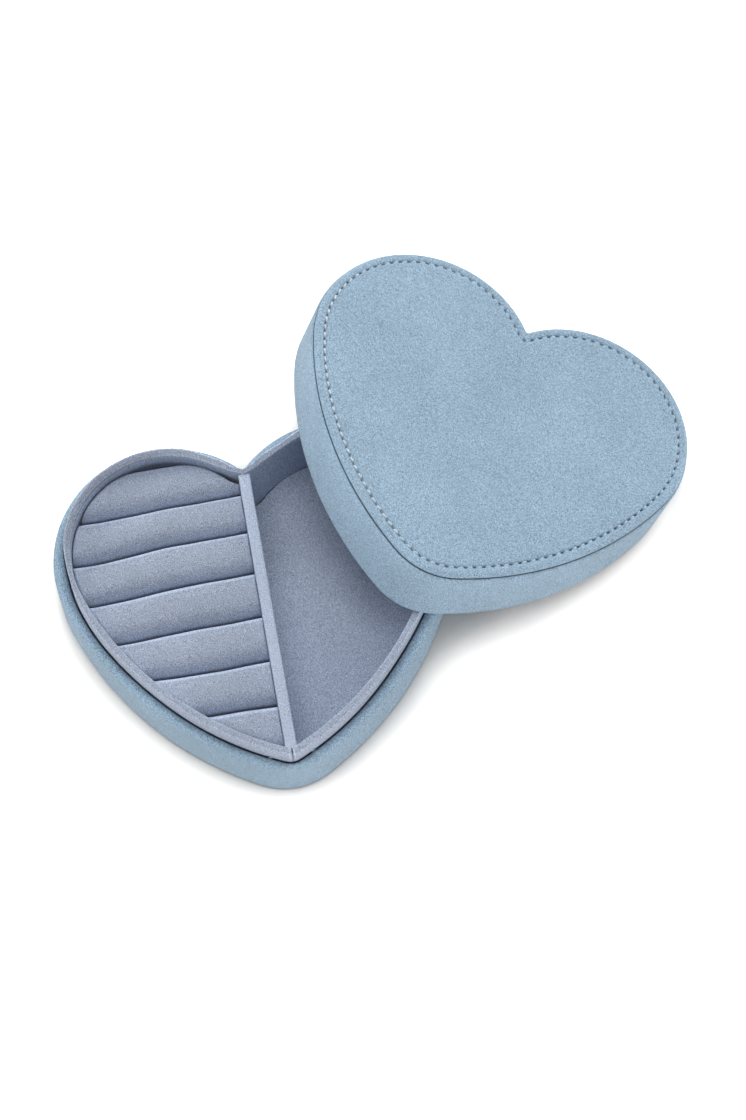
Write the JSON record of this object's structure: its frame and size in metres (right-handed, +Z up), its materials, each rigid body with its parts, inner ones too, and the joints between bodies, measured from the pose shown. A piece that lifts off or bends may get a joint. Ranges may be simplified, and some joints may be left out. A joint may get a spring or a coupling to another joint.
{
  "type": "jewellery box",
  "caption": "Heart-shaped suede jewellery box with a stitched lift-off lid leaning on its base, padded ring rolls, a divider and an open compartment.",
  "frame": {"origin": "on the underside of the base, on its axis of symmetry, between the centres of its two lobes", "axes": "+Z up, -Y towards the tip of the base's heart, +X towards the open compartment"},
  "size_m": [0.2249, 0.1726, 0.0666],
  "materials": {
    "suede": "soft nap",
    "lining": "soft nap",
    "thread": "twisted thread",
    "greyboard": "plain board",
    "foam": "open foam",
    "underside_cloth": "flat felt"
  },
  "bodies": {
    "base": {"base_underside_sheet": "underside_cloth", "base_board": "greyboard", "base_wall_core": "greyboard", "base_wall_cover": "suede", "collar_core": "greyboard", "collar_lining": "lining", "divider_core": "greyboard", "divider_lining": "lining", "compartment_floor_pad": "foam", "compartment_floor_lining": "lining", "ring_bed_board": "greyboard", "ring_roll_core_1": "foam", "ring_roll_core_2": "foam", "ring_roll_core_3": "foam", "ring_roll_core_4": "foam", "ring_roll_core_5": "foam", "ring_roll_core_6": "foam", "ring_roll_core_7": "foam", "ring_roll_cover_1": "lining", "ring_roll_cover_2": "lining", "ring_roll_cover_3": "lining", "ring_roll_cover_4": "lining", "ring_roll_cover_5": "lining", "ring_roll_cover_6": "lining", "ring_roll_cover_7": "lining"},
    "lid": {"lid_wall_core": "greyboard", "lid_top_board": "greyboard", "lid_wall_cover": "suede", "lid_wall_lining": "lining", "lid_lining_pad": "foam", "lid_lining_cover": "lining", "lid_panel_board": "greyboard", "lid_panel_padding": "foam", "lid_panel_cover": "suede", "lid_panel_stitching": "thread"}
  },
  "joints": [
    {"name": "lid_lift", "type": "slide", "parent": "base", "child": "lid", "axis": [0, 0, 1], "range_m": [0, 0.12]}
  ]
}
